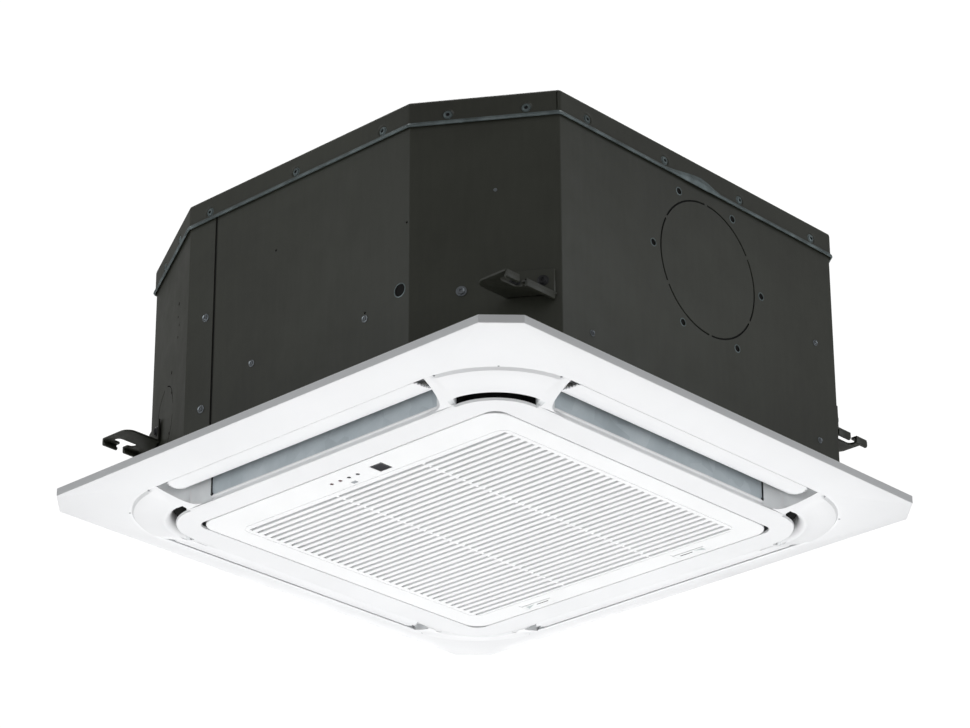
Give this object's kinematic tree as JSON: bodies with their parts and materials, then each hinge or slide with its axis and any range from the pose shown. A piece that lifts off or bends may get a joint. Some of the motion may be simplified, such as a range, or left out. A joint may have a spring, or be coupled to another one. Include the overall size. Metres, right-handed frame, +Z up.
{
  "type": "ceiling cassette air conditioner",
  "caption": "Square four-way ceiling cassette air conditioner: dark sheet-metal body with hanger brackets above a white panel with slotted intake grille and curved louvres.",
  "frame": {"origin": "centre of the panel in the plane of the ceiling, where the back of the panel rim bears", "axes": "+Z up into the ceiling void; -Y towards the side on which the intake grille is hinged and the receiver sits; +X towards the side with the branch-duct knock-out"},
  "size_m": [0.65, 0.65, 0.3213],
  "materials": {
    "white_plastic": "fine satin",
    "casing_paint": "dark olive-grey, slightly worn",
    "galvanised": "zinc coated",
    "zinc_steel": "bright zinc",
    "eps_foam": "expanded beads",
    "black_rubber": "matt",
    "smoked_window": "glossy",
    "copper": "drawn tube",
    "brass": "turned",
    "aluminium_fins": "pressed fins",
    "grey_plastic": "matt",
    "filter_net": "woven",
    "circuit_board": "solder resist",
    "black_plastic": "matt",
    "drain_plastic": "moulded"
  },
  "bodies": {
    "cassette": {"bell_mouth": "white_plastic", "casing_left_sheet": "casing_paint", "casing_lid": "casing_paint", "casing_main_sheet": "casing_paint", "coil": "aluminium_fins", "coil_end_plate": "galvanised", "control_board": "circuit_board", "control_box": "galvanised", "control_box_cover": "galvanised", "discharge_sleeve": "galvanised", "drain_outlet": "drain_plastic", "drain_pan": "eps_foam", "drain_plug": "black_rubber", "drain_pump": "drain_plastic", "fan_motor": "casing_paint", "float_stem": "drain_plastic", "gas_flare_nut": "brass", "gas_pipe": "copper", "grille_hinge_pin_left": "zinc_steel", "grille_hinge_pin_right": "zinc_steel", "hanger_bracket_back_left": "casing_paint", "hanger_bracket_back_right": "casing_paint", "hanger_bracket_front_left": "casing_paint", "hanger_bracket_front_right": "casing_paint", "insulation_liner": "eps_foam", "liquid_flare_nut": "brass", "liquid_pipe": "copper", "louvre_motor_back": "zinc_steel", "louvre_motor_front": "zinc_steel", "louvre_motor_left": "zinc_steel", "louvre_motor_right": "zinc_steel", "motor_mount": "black_rubber", "panel_frame": "white_plastic", "panel_screw_back_left": "zinc_steel", "panel_screw_back_right": "zinc_steel", "panel_screw_front_left": "zinc_steel", "panel_screw_front_right": "zinc_steel", "panel_seal": "black_rubber", "pipe_cover_plate": "casing_paint", "terminal_block": "black_plastic"},
    "grille": {"intake_grille": "white_plastic", "display_board": "circuit_board", "receiver_window": "smoked_window"},
    "filter": {"filter_frame": "grey_plastic", "filter_net": "filter_net"},
    "fan": {"turbo_fan": "grey_plastic", "fan_nut": "zinc_steel", "motor_shaft": "zinc_steel"},
    "float_body": {"float": "black_plastic"},
    "button": {"test_button": "grey_plastic"},
    "latch_left": {"grille_latch_left": "white_plastic"},
    "latch_right": {"grille_latch_right": "white_plastic"},
    "vane_front": {"louvre_front": "white_plastic"},
    "vane_right": {"louvre_right": "white_plastic"},
    "vane_back": {"louvre_back": "white_plastic"},
    "vane_left": {"louvre_left": "white_plastic"},
    "cover_front_right": {"corner_cover_front_right": "white_plastic"},
    "cover_back_right": {"corner_cover_back_right": "white_plastic"},
    "cover_back_left": {"corner_cover_back_left": "white_plastic"},
    "cover_front_left": {"corner_cover_front_left": "white_plastic"}
  },
  "joints": [
    {"name": "louvre_front_swing", "type": "hinge", "parent": "cassette", "child": "vane_front", "pos_m": [0, -0.282, -0.012], "axis": [1, 0, 0], "range_deg": [-30, 12]},
    {"name": "louvre_right_swing", "type": "hinge", "parent": "cassette", "child": "vane_right", "pos_m": [0.282, 0, -0.012], "axis": [0, 1, 0], "range_deg": [-30, 12]},
    {"name": "louvre_back_swing", "type": "hinge", "parent": "cassette", "child": "vane_back", "pos_m": [0, 0.282, -0.012], "axis": [-1, 0, 0], "range_deg": [-30, 12]},
    {"name": "louvre_left_swing", "type": "hinge", "parent": "cassette", "child": "vane_left", "pos_m": [-0.282, 0, -0.012], "axis": [0, -1, 0], "range_deg": [-30, 12]},
    {"name": "fan_spin", "type": "hinge", "parent": "cassette", "child": "fan", "pos_m": [0, 0, 0.13], "axis": [0, 0, 1], "continuous": true},
    {"name": "grille_swing", "type": "hinge", "parent": "cassette", "child": "grille", "pos_m": [0, -0.203, -0.027], "axis": [1, 0, 0], "range_deg": [-88, 0]},
    {"name": "latch_left_slide", "type": "slide", "parent": "grille", "child": "latch_left", "axis": [0, -1, 0], "range_m": [0, 0.0055]},
    {"name": "latch_right_slide", "type": "slide", "parent": "grille", "child": "latch_right", "axis": [0, -1, 0], "range_m": [0, 0.0055]},
    {"name": "filter_lift", "type": "slide", "parent": "grille", "child": "filter", "axis": [0, 0, 1], "range_m": [0, 0.008]},
    {"name": "test_button_press", "type": "slide", "parent": "grille", "child": "button", "axis": [0, 0, 1], "range_m": [0, 0.0007], "stiffness_N_per_m": 400},
    {"name": "float_rise", "type": "slide", "parent": "cassette", "child": "float_body", "axis": [0, 0, 1], "range_m": [0, 0.012]},
    {"name": "cover_front_right_pull", "type": "slide", "parent": "cassette", "child": "cover_front_right", "axis": [0, 0, -1], "range_m": [0, 0.03]},
    {"name": "cover_back_right_pull", "type": "slide", "parent": "cassette", "child": "cover_back_right", "axis": [0, 0, -1], "range_m": [0, 0.03]},
    {"name": "cover_back_left_pull", "type": "slide", "parent": "cassette", "child": "cover_back_left", "axis": [0, 0, -1], "range_m": [0, 0.03]},
    {"name": "cover_front_left_pull", "type": "slide", "parent": "cassette", "child": "cover_front_left", "axis": [0, 0, -1], "range_m": [0, 0.03]}
  ],
  "couplings": [
    {"joint": "louvre_right_swing", "follows": "louvre_front_swing", "ratio": 1},
    {"joint": "louvre_back_swing", "follows": "louvre_front_swing", "ratio": 1},
    {"joint": "louvre_left_swing", "follows": "louvre_front_swing", "ratio": 1}
  ]
}
